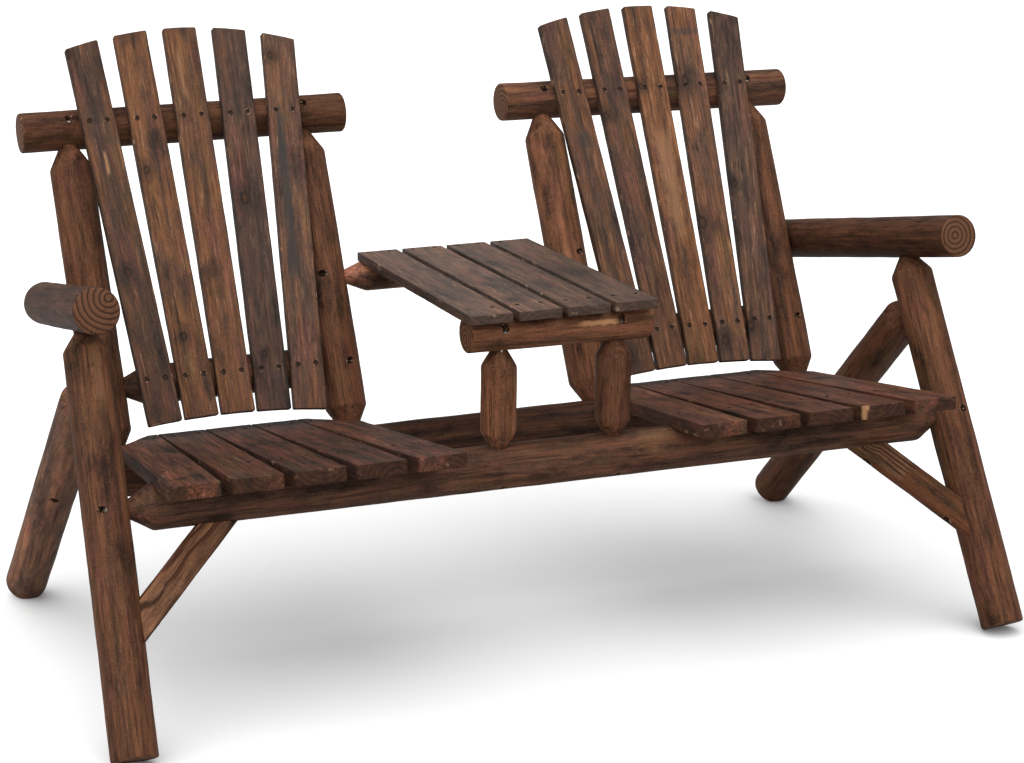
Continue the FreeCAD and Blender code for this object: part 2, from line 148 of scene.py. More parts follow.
def leave():
    bpy.ops.object.mode_set(mode="OBJECT")


def pick(piece, kind, wanted):
    """In edit mode, select only the edges or faces that the test picks."""
    bpy.ops.mesh.select_mode(type=kind)
    bpy.ops.mesh.select_all(action="DESELECT")
    shape = bmesh.from_edit_mesh(piece.data)
    for part in shape.edges if kind == "EDGE" else shape.faces:
        if wanted(part):
            part.select_set(True)
    bmesh.update_edit_mesh(piece.data)


def cut_across(start, step, count, along):
    """In edit mode, cut through the whole piece at even steps."""
    for i in range(count):
        bpy.ops.mesh.select_all(action="SELECT")
        bpy.ops.mesh.bisect(plane_co=start + along * step * i, plane_no=along)


def points(mesh):
    flat = np.empty(len(mesh.vertices) * 3)
    mesh.vertices.foreach_get("co", flat)
    return flat.reshape(-1, 3)


def merged_copy(node, name):
    """A copy of a CAD node with its loose triangles joined."""
    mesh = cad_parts[node].data.copy()
    mesh.materials.clear()
    piece = bpy.data.objects.new(name, mesh)
    bpy.context.scene.collection.objects.link(piece)
    edit(piece)
    bpy.ops.mesh.customdata_custom_splitnormals_clear()
    bpy.ops.mesh.select_all(action="SELECT")
    bpy.ops.mesh.remove_doubles(threshold=WELD)
    leave()
    return piece


def longest_edge(mesh):
    """The direction of a mesh's longest edge, which runs along the wood."""
    ends = [[mesh.vertices[i].co for i in edge.vertices] for edge in mesh.edges]
    a, b = max(ends, key=lambda pair: (pair[0] - pair[1]).length_squared)
    return (b - a).normalized()


class Screw:
    """Where a CAD screw stands: its head's middle, its axis and its length."""

    def __init__(self, cloud):
        middle = cloud.mean(0)
        axis = np.linalg.svd(cloud - middle, full_matrices=False)[2][0]
        along = (cloud - middle) @ axis
        out = np.linalg.norm(cloud - middle - np.outer(along, axis), axis=1)
        if along[out.argmax()] < 0:
            axis, along = -axis, -along
        self.head = Vector(middle + axis * along.max())
        self.up = Vector(axis)
        self.length = along.max() - along.min()


def find_screws(node):
    """The screws of one CAD group, which are the loose islands of its mesh."""
    piece = merged_copy(node, "screw_reading")
    shape = bmesh.new()
    shape.from_mesh(piece.data)
    bpy.data.objects.remove(piece)
    seen = set()
    found = []
    for start in shape.verts:
        if start in seen:
            continue
        seen.add(start)
        queue = [start]
        island = []
        while queue:
            vert = queue.pop()
            island.append(vert.co[:])
            for edge in vert.link_edges:
                other = edge.other_vert(vert)
                if other not in seen:
                    seen.add(other)
                    queue.append(other)
        found.append(Screw(np.array(island)))
    shape.free()
    return found


screw_nodes = sorted(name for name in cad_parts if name.endswith("_screws"))
screws = {name: find_screws(name) for name in screw_nodes}
frame_screws = [s for name in screw_nodes if "frame" in name for s in screws[name]]
slat_screws = [s for name in screw_nodes if "slat" in name for s in screws[name]]


def near(screw_list, low, high, margin):
    """The screws whose heads lie in a box grown by a margin."""
    kept = []
    for screw in screw_list:
        if all(low[i] - margin < screw.head[i] < high[i] + margin for i in range(3)):
            kept.append(screw)
    return kept


def beside(screw, place):
    """How far a place is from a screw's axis, and how far above its head."""
    away = place - screw.head
    height = away.dot(screw.up)
    return (away - screw.up * height).length, height


# How each piece came out beside the others, set in tenths: its warmth, from 0 for cool to 1 for warm,
# and its lightness, from 0 for dark to 1 for pale. The lightness is partly the stain's own tone and
# partly painted light and shade, set for how lit or shaded each piece is. A few pieces go past either
# end.
LOOKS = {
    "front_beam": (0.3, 0.3),
    "rear_beam": (0.5, 0.0),
    "left_front_leg": (0.7, 0.3),
    "right_front_leg": (0.9, 0.3),
    "left_rear_leg": (0.3, 1.1),
    "right_rear_leg": (1.0, 0.2),
    "left_brace": (0.6, 0.5),
    "right_brace": (0.8, 0.4),
    "left_armrest": (1.1, -0.1),
    "right_armrest": (0.8, 0.0),
    "left_top_rail": (1.1, 0.2),
    "right_top_rail": (0.5, 0.6),
    "left_lower_back_rail": (0.3, 0.4),
    "left_outer_post": (1.1, 0.3),
    "left_inner_post": (0.8, 0.5),
    "right_inner_post": (0.8, 0.8),
    "right_outer_post": (0.8, 0.5),
    "table_back_pole": (0.5, 1.9),
    "table_front_pole": (1.1, 0.7),
    "table_left_post": (1.1, 0.7),
    "table_right_post": (1.2, 0.2),
    "left_back_slat_1": (0.5, 0.3),
    "left_back_slat_2": (0.8, 0.6),
    "left_back_slat_3": (0.7, 0.6),
    "left_back_slat_4": (0.2, 0.3),
    "left_back_slat_5": (0.4, 0.7),
    "right_back_slat_1": (0.5, 0.4),
    "right_back_slat_2": (0.5, 0.4),
    "right_back_slat_3": (0.9, 0.7),
    "right_back_slat_4": (0.5, 0.8),
    "right_back_slat_5": (0.2, 0.5),
    "left_seat_slat_1": (0.5, 0.9),
    "left_seat_slat_2": (0.5, 0.4),
    "left_seat_slat_3": (0.5, 0.3),
    "left_seat_slat_4": (0.4, 0.3),
    "left_seat_slat_5": (0.5, 0.6),
    "right_seat_slat_1": (0.6, 1.0),
    "right_seat_slat_2": (0.8, 0.5),
    "right_seat_slat_3": (0.8, 0.4),
    "right_seat_slat_4": (0.9, 0.4),
    "right_seat_slat_5": (0.6, 0.8),
    "table_slat_1": (0.5, 0.5),
    "table_slat_2": (0.5, 0.6),
    "table_slat_3": (0.5, 0.3),
    "table_slat_4": (0.5, 0.3),
}

# Marks on boards: the place along and across, as shares of half the board from its middle,
# half the mark's width and length, and how pale it is, or below 0 how blue
BOARD_MARKS = {
    "left_back_slat_1": (0.35, -0.1, 0.004, 0.025, 0.5),
    "left_back_slat_3": (0.75, -0.3, 0.006, 0.060, 0.25),
    "left_back_slat_5": (0.1, -0.3, 0.012, 0.200, -0.9),
    "right_back_slat_1": (0.3, 0.2, 0.022, 0.020, -0.6),
    "right_back_slat_3": (0.0, 0.0, 0.022, 0.120, 0.3),
    "right_back_slat_4": (0.85, -0.1, 0.040, 0.008, -0.6),
    "right_seat_slat_4": (-1.0, -1.0, 0.014, 0.010, 0.8),
}

# Marks on poles: the place along, as a share of half the pole, the way it faces, half its
# width and length, and how pale it is
POLE_MARKS = {
    "left_front_leg": (0.75, (0.15, -1, 0), 0.012, 0.070, 0.22),
    "front_beam": (0.25, (0, -0.6, 1), 0.020, 0.050, 0.16),
    "table_front_pole": (0.35, (0, -1, 0.3), 0.007, 0.040, 1.0),
}

# Where the middle of the log lies off an armrest's axis, in metres, as its front end shows
HEARTS = {"left_armrest": (0.020, 0.0, 0.015), "right_armrest": (-0.006, 0.0, 0.004)}

# How near its planed face, and how far in from its edges, a brace's wood is planed
PLANED_DEPTH = 0.0006
PLANED_RIM = 0.0028


class Lie:
    """How a piece of wood lies: its middle, its three directions and its half sizes."""

    def __init__(self, origin, across, along, depth, half):
        self.origin = origin
        self.across = across
        self.along = along
        self.depth = depth
        self.half = half

    def local(self, cloud):
        """Each point's place across, along and through the wood."""
        co = cloud - np.array(self.origin)
        return np.stack([co @ np.array(axis) for axis in (self.across, self.along, self.depth)], 1)


def log_places(chance, local, heart):
    """Places in the log and on its skin, shifted so that no two pieces are alike."""
    shift = chance.uniform(-20, 20)
    lean = [chance.uniform(-0.012, 0.012) for _ in range(2)]
    grain = local.copy()
    grain[:, 0] += heart[0] + lean[0] * local[:, 1]
    grain[:, 1] += shift
    grain[:, 2] += heart[1] + lean[1] * local[:, 1]
    skin = local.copy()
    skin[:, 1] += shift
    return grain, skin


def gap_to_bores(cloud, bores, bore_r):
    """How far each point is from the rim of the nearest screw hole, 1 m where none is near."""
    rim = np.full(len(cloud), 1.0)
    for screw in bores:
        away = cloud - np.array(screw.head)
        height = away @ np.array(screw.up)
        out = np.linalg.norm(away - np.outer(height, np.array(screw.up)), axis=1)
        rim = np.where(np.abs(height) < BORE_ABOVE, np.minimum(rim, out - bore_r), rim)
    return rim


def mark_places(name, lie, cloud):
    """Where each point lies in its piece's mark, and how pale and how blue that mark is."""
    if name in POLE_MARKS:
        share, facing, wide, long, strength = POLE_MARKS[name]
        up = Vector(facing) - lie.along * lie.along.dot(Vector(facing))
        up.normalize()
        spot = lie.origin + lie.along * lie.half[1] * share + up * lie.half[0]
    elif name in BOARD_MARKS:
        share, side_share, wide, long, strength = BOARD_MARKS[name]
        up = lie.depth
        spot = lie.origin + lie.along * lie.half[1] * share + lie.across * lie.half[0] * side_share
    else:
        return np.zeros((len(cloud), 3)), np.zeros((len(cloud), 3))
    axes = [np.array(axis) for axis in (lie.along.cross(up), lie.along, up)]
    offset = cloud - np.array(spot)
    mark = np.stack([offset @ axes[0] / wide, offset @ axes[1] / long, offset @ axes[2]], 1)
    tint = np.tile([max(strength, 0.0), max(-strength, 0.0), 0.0], (len(cloud), 1))
    return mark, tint


def write_grain(piece, lie, bores, bore_r, heart, kind):
    """Store on each point where it lies in its piece of wood, for the materials."""
    name = piece.name.removesuffix("_wood")
    chance = random.Random(piece.name)
    cloud = points(piece.data)
    local = lie.local(cloud)
    grain, skin = log_places(chance, local, heart)
    drawn_look = (chance.uniform(0.3, 0.7), chance.uniform(0.42, 0.58))
    # The piece's lightness is partly its stain's tone and partly painted light and shade.
    warmth, lightness = LOOKS.get(name, drawn_look)
    room = np.array(lie.half) - np.abs(local)
    # On a board's surface the nearest corner is as far off as the second least room
    edge = np.sort(room, axis=1)[:, 1] if kind == "board" else room[:, 1]
    rim = gap_to_bores(cloud, bores, bore_r)
    planed = (local[:, 2] > lie.half[2] - PLANED_DEPTH) & (edge > PLANED_RIM)
    tone = np.stack([np.full(len(local), warmth), np.full(len(local), lightness), planed], 1)
    # Distances to the nearest edge, to the nearest screw-hole rim and to the ends, which set real wear
    # and also painted shade at board edges and in screw holes.
    wear = np.stack([np.clip(edge, 0, 0.05), np.clip(rim, -0.01, 0.05), room[:, 1]], 1)
    mark, tint = mark_places(name, lie, cloud)
    layers = {"grain": grain, "skin": skin, "tone": tone, "wear": wear, "mark": mark, "tint": tint}
    for layer_name, values in layers.items():
        layer = piece.data.attributes.new(layer_name, "FLOAT_VECTOR", "POINT")
        layer.data.foreach_set("vector", values.astype(np.float32).ravel())


def finish_piece(piece, node, material):
    piece.data.materials.append(material)
    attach(piece, "root")
    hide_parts(node)
    activate(piece)
    bpy.ops.object.shade_smooth_by_angle(angle=SMOOTH_ANGLE)


def roughen(piece, size, strength):
    """Small unevenness of hand-worked wood, put into the mesh."""
    name = f"lumps_{size}"
    texture = bpy.data.textures.get(name) or bpy.data.textures.new(name, "CLOUDS")
    texture.noise_scale = size
    texture.noise_depth = 2
    bump = piece.modifiers.new("lumps", "DISPLACE")
    bump.texture = texture
    bump.texture_coords = "LOCAL"
    bump.strength = strength
    bump.mid_level = 0.5
    activate(piece)
    bpy.ops.object.modifier_apply(modifier="lumps")


# Materials
def paint(code):
    """A colour from its sRGB hex code."""
    shares = [int(code[i:i + 2], 16) / 255 for i in (0, 2, 4)]
    linear = [s / 12.92 if s <= 0.04045 else ((s + 0.055) / 1.055) ** 2.4 for s in shares]
    return (*linear, 1.0)


def blend(share, first, second):
    """A colour between two others."""
    return tuple(a + (b - a) * share for a, b in zip(first, second))


class Wire:
    """One value in a material: arithmetic on it adds Math nodes."""

    def __init__(self, finish, socket):
        self.finish = finish
        self.socket = socket

    def math(self, operation, *values):
        return self.finish.node("ShaderNodeMath", {"operation": operation}, *values)

    def __add__(self, other):
        return self.math("ADD", self, other)

    def __radd__(self, other):
        return self.math("ADD", other, self)

    def __sub__(self, other):
        return self.math("SUBTRACT", self, other)

    def __rsub__(self, other):
        return self.math("SUBTRACT", other, self)

    def __mul__(self, other):
        return self.math("MULTIPLY", self, other)

    def __rmul__(self, other):
        return self.math("MULTIPLY", other, self)

    def __truediv__(self, other):
        return self.math("DIVIDE", self, other)

    def __pow__(self, other):
        return self.math("POWER", self, other)


class Finish:
    """A material being put together from nodes."""

    def __init__(self, name):
        self.material = bpy.data.materials.new(name)
        self.material.use_nodes = True
        self.tree = self.material.node_tree
        self.shader = self.tree.nodes["Principled BSDF"]

    def node(self, kind, settings, *values, out=0, **named):
        """Add a node: its settings first, then its inputs in order or by name."""
        node = self.tree.nodes.new(kind)
        for key, value in settings.items():
            if key == "stops":
                self.set_stops(node.color_ramp, value)
            else:
                setattr(node, key, value)
        inputs = list(zip(node.inputs, values))
        inputs += [(node.inputs[key.replace("_", " ")], value) for key, value in named.items()]
        for socket, value in inputs:
            if isinstance(value, Wire):
                self.tree.links.new(value.socket, socket)
            elif value is not None:
                socket.default_value = value
        return Wire(self, node.outputs[out])

    def set_stops(self, ramp, stops):
        while len(ramp.elements) < len(stops):
            ramp.elements.new(1.0)
        for element, (place, colour) in zip(ramp.elements, stops):
            element.position = place
            element.color = colour if isinstance(colour, tuple) else (colour, colour, colour, 1)

    def attribute(self, name):
        return self.node("ShaderNodeAttribute", {"attribute_name": name}, out="Vector")

    def parts(self, vector):
        return [self.node("ShaderNodeSeparateXYZ", {}, vector, out=i) for i in range(3)]

    def vector(self, x, y, z):
        return self.node("ShaderNodeCombineXYZ", {}, x, y, z)

    def stretch(self, vector, scale):
        return self.node("ShaderNodeVectorMath", {"operation": "MULTIPLY"}, vector, scale)

    def noise(self, vector, scale, detail=2.0, roughness=0.5, out="Fac"):
        return self.node(
            "ShaderNodeTexNoise", {}, out=out,
            Vector=vector, Scale=scale, Detail=detail, Roughness=roughness,
        )

    def ramp(self, value, stops):
        return self.node("ShaderNodeValToRGB", {"stops": stops}, value)

    def grey(self, value):
        return self.node("ShaderNodeRGBToBW", {}, value)

    def fract(self, value):
        return self.node("ShaderNodeMath", {"operation": "FRACT"}, value)

    def size(self, value):
        return self.node("ShaderNodeMath", {"operation": "ABSOLUTE"}, value)

    def mix(self, share, first, second, how="MIX"):
        settings = {"data_type": "RGBA", "blend_type": how}
        unused = [None] * 5
        return self.node("ShaderNodeMix", settings, share, *unused, first, second, out=2)

    def smooth(self, value, low, high):
        """Rises smoothly from 0 to 1 as the value goes from low to high."""
        settings = {"interpolation_type": "SMOOTHSTEP"}
        return self.node("ShaderNodeMapRange", settings, value, low, high, 0.0, 1.0)

    def feed(self, **sockets):
        for key, value in sockets.items():
            socket = self.shader.inputs[key.replace("_", " ")]
            if isinstance(value, Wire):
                self.tree.links.new(value.socket, socket)
            else:
                socket.default_value = value


# Near black: the dark of knots, cracks and burnt wood, and also painted shade at board edges and in
# screw holes.
CHAR_AND_SHADE = paint("080402")
ROSY = paint("4f2c27")
OLIVE = paint("3b3019")
WORN = paint("8f6844")
BLUE_STAIN = paint("22201f")
RUST = paint("3a2c24")

# How wide and how long, in metres, the patch of wood is that may hold one knot
POLE_KNOT_CELL = (0.11, 0.26)
BOARD_KNOT_CELL = (0.075, 0.16)
POLE_SKIN_R = 0.034

# Spacing of the rings on a sawn end, and how dark each ring is from its inside out
END_RING_STEP = 0.0085
RING_STOPS = [(0.0, 0.05), (0.45, 0.12), (0.8, 0.9), (0.9, 1.0), (1.0, 0.05)]
END_RING_STOPS = [(0.0, 0.0), (0.45, 0.1), (0.75, 1.0), (1.0, 0.0)]


class Wood(Finish):
    """Stained and brushed softwood, as a round pole, a board or a brace with a planed face."""

    def __init__(self, name, stock, warm, cool, dark, pale, ring_step, ring_show, knots, gloss, sheen):
        super().__init__(name)
        self.round_stock = stock == "round"
        self.warm = paint(warm)
        self.cool = paint(cool)
        self.dark = paint(dark)
        self.pale = paint(pale)
        self.grain = self.attribute("grain")
        self.skin = self.attribute("skin")
        self.warm_share, self.lightness, self.planed = self.parts(self.attribute("tone"))
        self.edge, self.rim, self.end = self.parts(self.attribute("wear"))
        self.lay_fibre()
        self.grow_knots(knots)
        self.grow_rings(ring_step)
        light = self.light()
        colour = self.mix(1.0, self.stained(ring_show), light, "MULTIPLY")
        colour = self.with_knots(colour)
        if stock == "planed":
            colour = self.with_planed_face(colour, light)
        colour = self.with_sawn_ends(colour)
        colour = self.with_cracks(colour)
        colour = self.with_worn_and_shaded_edges(colour)
        colour = self.with_screw_holes(colour)
        colour = self.with_own_mark(colour)
        relief = self.fine * 0.35 + self.streak * 0.5 + self.ring * 0.3
        relief = relief - self.crack * 1.2 - self.knot * 0.3
        normal = self.node("ShaderNodeBump", {}, Strength=0.6, Distance=0.0012, Height=relief)
        rough = gloss + self.streak * 0.2 + self.smudge * 0.12
        self.feed(Base_Color=colour, Roughness=rough, Normal=normal, Specular_IOR_Level=sheen)

    def fibre(self, place, across, along, detail=2.0, roughness=0.5):
        """Noise drawn out along the wood: its fineness across the fibre and along it."""
        return self.noise(self.stretch(place, (across, along, across)), 1.0, detail, roughness)

    def lay_fibre(self):
        """Blotches, bands, fibre in two widths, and the unevenness of the stain and dirt."""
        self.blotch = self.fibre(self.grain, 30.0, 10.0, 4.0, 0.62)
        self.band = self.fibre(self.grain, 62.0, 3.4, 3.0, 0.55)
        self.streak = self.fibre(self.grain, 210.0, 9.0, 4.0, 0.65)
        self.fine = self.fibre(self.grain, 620.0, 42.0, 2.0, 0.6)
        self.spots = self.fibre(self.skin, 16.0, 7.0, 4.0, 0.68)
        self.speck = self.noise(self.skin, 330.0, 2.0, 0.6)
        self.smudge = self.noise(self.skin, 85.0, 3.0, 0.6)

    def grow_knots(self, knots):
        """Knots, one to a cell of a stretched grid, with some cells left empty."""
        x, y, z = self.parts(self.skin)
        cell_w, cell_l = POLE_KNOT_CELL if self.round_stock else BOARD_KNOT_CELL
        if self.round_stock:
            x = self.node("ShaderNodeMath", {"operation": "ARCTAN2"}, z, x) * POLE_SKIN_R
        plan = self.vector(x / cell_w, y / cell_l, 0.0)
        settings = {"voronoi_dimensions": "2D"}
        centre = self.node("ShaderNodeTexVoronoi", settings, out="Position", Vector=plan, Scale=1.0)
        chance = self.node("ShaderNodeTexVoronoi", settings, out="Color", Vector=plan, Scale=1.0)
        centre_x, centre_y, _ = self.parts(centre)
        drawn, size, _ = self.parts(chance)
        off_x = (centre_x - x / cell_w) * cell_w
        off_y = (centre_y - y / cell_l) * (cell_l * 0.7)
        ragged = self.noise(self.skin, 110.0, 2.0)
        far = (off_x * off_x + off_y * off_y) ** 0.5 + (ragged - 0.5) * 0.009
        far = far / (0.004 + size * 0.006)
        present = self.smooth(drawn, 1.0 - knots - 0.02, 1.0 - knots + 0.02)
        self.knot = (1 - self.smooth(far, 0.7, 1.2)) * present
        self.knot_core = (1 - self.smooth(far, 0.25, 0.8)) * present
        self.knot_halo = (1 - self.smooth(far, 0.8, 4.0)) * present

    def grow_rings(self, ring_step):
        """Growth rings around the heart of the log, bent along it and around knots."""
        x, _, z = self.parts(self.grain)
        drift = self.fibre(self.grain, 11.0, 3.0)
        shake = self.fibre(self.grain, 70.0, 14.0)
        radius = (x * x + z * z) ** 0.5
        inner = radius + (shake - 0.5) * 0.003
        radius = radius + (drift - 0.5) * 0.034 + (shake - 0.5) * 0.0035 + self.knot_halo * 0.006
        self.ring = self.grey(self.ramp(self.fract(radius / ring_step), RING_STOPS))
        self.end_ring = self.grey(self.ramp(self.fract(inner / END_RING_STEP), END_RING_STOPS))

    def stained(self, ring_show):
        """The stain: warm and cool in turn, dark where it soaked in, pale where brushed off."""
        warmth = self.blotch * 0.9 + self.band * 0.9 + self.warm_share * 0.55
        rosy = self.smooth(self.fibre(self.skin, 34.0, 9.0, 4.0, 0.7), 0.5, 0.68)
        olive = self.smooth(self.fibre(self.grain, 40.0, 7.0, 3.0, 0.65), 0.54, 0.70)
        soaked = self.smooth(self.streak + (self.blotch - 0.5) * 0.9, 0.48, 0.74)
        late_wood = self.ring * ring_show * self.smooth(self.blotch, 0.35, 0.7)
        brushed = self.smooth(self.fibre(self.grain, 240.0, 18.0, 4.0, 0.65), 0.54, 0.74)
        pooled = self.smooth(self.spots, 0.53, 0.72)
        colour = self.mix(self.smooth(warmth, 0.92, 1.42), self.cool, self.warm)
        colour = self.mix(rosy * 0.45, colour, ROSY)
        colour = self.mix(olive * 0.38, colour, OLIVE)
        colour = self.mix(soaked * 0.68, colour, self.dark)
        colour = self.mix(late_wood, colour, self.dark)
        colour = self.mix(brushed * (0.16 if self.round_stock else 0.36), colour, self.pale)
        return self.mix(pooled * 0.72, colour, self.dark)

    def light(self):
        """How light each spot is, from the fibre, the blotches and the piece's own lightness, which is
        partly painted light and shade.
        """
        light = 1.05 + (self.fine - 0.5) * 1.2 + (self.blotch - 0.5) * 3.4
        light = light + (self.band - 0.5) * 1.8 + (self.speck - 0.5) * 1.3
        # The piece's own lightness scales the colour here: painted light and shade as well as the
        # stain's tone.
        light = self.smooth(light, -0.55, 2.65) * 2.0 * (0.55 + self.lightness * 0.9)
        return self.vector(light, light, light)

    def with_knots(self, colour):
        colour = self.mix(self.knot_halo * 0.6, colour, self.dark)
        colour = self.mix(self.knot * 0.85, colour, CHAR_AND_SHADE)
        return self.mix(self.knot_core * 0.35, colour, self.warm)

    def with_planed_face(self, colour, light):
        """The planed face of a brace, paler than its round back."""
        face = self.smooth(self.ring * 0.5 + self.streak + self.spots * 0.4, 0.55, 1.15)
        face = self.mix(face, self.pale, self.dark)
        face = self.mix(self.spots * 0.5, face, self.warm)
        face = self.mix(1.0, face, light, "MULTIPLY")
        return self.mix(self.smooth(self.planed, 0.1, 0.8) * 0.85, colour, face)

    def with_sawn_ends(self, colour):
        """Sawn ends, a little paler, which show the rings of the log."""
        sawn = 1 - self.smooth(self.end, 0.0013, 0.0021)
        if self.round_stock:
            rings = self.mix(0.2 + self.end_ring * 0.75, blend(0.15, self.warm, self.pale), self.dark)
        else:
            rings = self.mix(0.35 + self.end_ring * 0.4, blend(0.1, self.warm, self.pale), self.dark)
        return self.mix(sawn * 0.92, colour, rings)

    def with_cracks(self, colour):
        """Fine drying cracks along the fibre."""
        line = self.fibre(self.grain, 95.0, 1.6, 4.0, 0.62)
        here = self.fibre(self.grain, 12.0, 3.0, 1.0)
        thin = 1 - self.smooth(self.size(line - 0.5), 0.002, 0.012)
        self.crack = thin * self.smooth(here, 0.53, 0.62)
        return self.mix(self.crack * 0.75, colour, CHAR_AND_SHADE)

    def with_worn_and_shaded_edges(self, colour):
        """Dark edges on boards, partly burnt wood and partly painted shade, and small chips along the
        edges of all stock.
        """
        near_edge = 1 - self.smooth(self.edge, 0.0012, 0.0036)
        if self.round_stock:
            near_edge = near_edge * self.smooth(self.end, 0.0004, 0.0012)
        else:
            # Board edges darkened to near black: partly burnt wood, partly painted shade on the
            # rounded edges.
            burnt_and_shaded_edge = 1 - self.smooth(self.edge + (self.smudge - 0.5) * 0.005, 0.0, 0.003)
            colour = self.mix(burnt_and_shaded_edge * 0.6, colour, CHAR_AND_SHADE)
        chip = self.smooth(self.fibre(self.skin, 60.0, 34.0, 3.0, 0.6), 0.62, 0.70)
        return self.mix(near_edge * chip * 0.45, colour, self.pale)

    def with_screw_holes(self, colour):
        """Painted shade in the screw holes, and pale splinters round their rims."""
        # Painted shade: the inside and the rim of each screw hole darkened to near black.
        hole_shade = 1 - self.smooth(self.rim + (self.smudge - 0.5) * 0.003, -0.0002, 0.0022)
        colour = self.mix(hole_shade * 0.85, colour, CHAR_AND_SHADE)
        splinter = self.smooth(self.rim, -0.0008, 0.0002) * (1 - self.smooth(self.rim, 0.0010, 0.0026))
        splinter = splinter * self.smooth(self.noise(self.skin, 230.0, 2.0), 0.56, 0.64)
        return self.mix(splinter * 0.8, colour, self.pale)

    def with_own_mark(self, colour):
        """The piece's own mark: a worn streak, a chip or a dark stain."""
        x, y, z = self.parts(self.attribute("mark"))
        pale_share, blue_share, _ = self.parts(self.attribute("tint"))
        across = self.size(x + (self.smudge - 0.5) * 1.1 + (self.band - 0.5) * 1.6)
        along = self.size(y + (self.spots - 0.5))
        mark = (1 - self.smooth(across, 0.35, 1.0)) * (1 - self.smooth(along, 0.5, 1.0))
        mark = mark * self.smooth(z, -0.024, -0.014) * (0.35 + self.streak * 1.1)
        colour = self.mix(mark * pale_share, colour, blend(0.5, self.pale, WORN))
        return self.mix(mark * blue_share, colour, BLUE_STAIN)


pole_wood = Wood(
    "stained_pole", "round", warm="4b2f1f", cool="3f2c22", dark="170d09", pale="7a5a44",
    ring_step=0.0058, ring_show=0.35, knots=0.10, gloss=0.5, sheen=0.05,
).material
brace_wood = Wood(
    "brace_board", "planed", warm="442613", cool="372418", dark="140a06", pale="5f4330",
    ring_step=0.0045, ring_show=0.35, knots=0.10, gloss=0.5, sheen=0.08,
).material
back_wood = Wood(
    "back_slat_board", "board", warm="4b2e19", cool="3b2a22", dark="170c07", pale="806049",
    ring_step=0.0052, ring_show=0.5, knots=0.40, gloss=0.52, sheen=0.14,
).material
seat_wood = Wood(
    "seat_slat_board", "board", warm="3b1f12", cool="32211a", dark="120a06", pale="6c503d",
    ring_step=0.0050, ring_show=0.45, knots=0.28, gloss=0.52, sheen=0.08,
).material
table_wood = Wood(
    "table_slat_board", "board", warm="422b1e", cool="3c2d24", dark="1a100a", pale="7a6350",
    ring_step=0.0048, ring_show=0.45, knots=0.22, gloss=0.5, sheen=0.20,
).material


def steel(name, colour, roughness):
    """Screw steel, speckled with rust."""
    f = Finish(name)
    place = f.node("ShaderNodeTexCoord", {}, out="Object")
    dull = f.noise(place, 900.0, 2.0)
    tint = f.mix(f.smooth(dull, 0.45, 0.7), colour, RUST)
    f.feed(Base_Color=tint, Roughness=roughness + dull * 0.25, Metallic=1.0)
    return f.material


bright_steel = steel("plated_screw", paint("b8afa1"), 0.35)
dark_steel = steel("blackened_screw", paint("241c17"), 0.5)


# Poles: each is turned anew around the axis and profile of its CAD node
class Pole:
    """Where a CAD pole's axis runs, its radius and its two ends."""

    def __init__(self, node):
        piece = merged_copy(node, "pole_reading")
        co = points(piece.data)
        self.along = longest_edge(piece.data)
        bpy.data.objects.remove(piece)
        if self.along.dot(Vector((1, 1, 1))) < 0:
            self.along.negate()
        self.side = self.along.orthogonal().normalized()
        other = self.along.cross(self.side)
        t = co @ np.array(self.along)
        flat = np.stack([co @ np.array(self.side), co @ np.array(other)], 1)
        middle = (flat.max(0) + flat.min(0)) / 2
        self.radius = float((flat.max(0) - flat.min(0)).max() / 2)
        self.origin = self.side * float(middle[0]) + other * float(middle[1])
        out = np.linalg.norm(flat - middle, axis=1)
        self.ends = [self.read_end(t * sign, out) for sign in (-1, 1)]
        self.low = -self.ends[0][1]
        self.high = self.ends[1][1]

    def read_end(self, t, out):
        """How far the full round and the tip reach, and how steep the cone between them is."""
        ring = float(t[out > self.radius - SKIN_SLACK].max())
        tip = float(t.max())
        beyond = (t > ring + CONE_CLEAR) & (out < self.radius - CONE_DROP)
        slope = 0.0
        if beyond.any():
            slope = float(np.median((self.radius - out[beyond]) / (t[beyond] - ring)))
        return ring, tip, slope

    def gap(self, place):
        """How far a place lies from the pole's axis."""
        away = place - self.origin
        return (away - self.along * away.dot(self.along)).length


# The poles that each pole's ends or seats are coped to
MATES = {
    "front_beam": ["left_front_leg", "right_front_leg"],
    "rear_beam": ["left_rear_leg", "right_rear_leg"],
    "table_back_pole": ["left_inner_post", "right_inner_post"],
    "table_left_post": ["front_beam", "table_front_pole"],
    "table_right_post": ["front_beam", "table_front_pole"],
}
for hand in ("left", "right"):
    MATES[f"{hand}_front_leg"] = [f"{hand}_armrest"]
    MATES[f"{hand}_rear_leg"] = [f"{hand}_front_leg"]
    MATES[f"{hand}_lower_back_rail"] = [f"{hand}_inner_post", f"{hand}_outer_post"]
    MATES[f"{hand}_armrest"] = [f"{hand}_outer_post"]
    MATES[f"{hand}_top_rail"] = []
    for place in ("inner", "outer"):
        MATES[f"{hand}_{place}_post"] = ["rear_beam", f"{hand}_top_rail"]
MATES["table_front_pole"] = []
poles = {node: Pole(node) for node in MATES}


def upright(origin, along, side):
    """The placement that stands a Z-built shape along an axis."""
    turn = Matrix((side, along.cross(side), along)).transposed()
    return Matrix.Translation(origin) @ turn.to_4x4()


def cylinder(name, radius, low, high, sides):
    """An upright cylinder around the Z axis."""
    bpy.ops.object.select_all(action="DESELECT")
    bpy.ops.mesh.primitive_cylinder_add(
        vertices=sides, radius=radius, depth=high - low, location=(0, 0, (low + high) / 2)
    )
    made = bpy.context.active_object
    made.name = name
    bpy.ops.object.transform_apply()
    return made


def rod(name, origin, along, side, radius, low, high, sides):
    """A cylinder along an axis, from low to high on it."""
    made = cylinder(name, radius, low, high, sides)
    made.matrix_world = upright(origin, along, side)
    return made


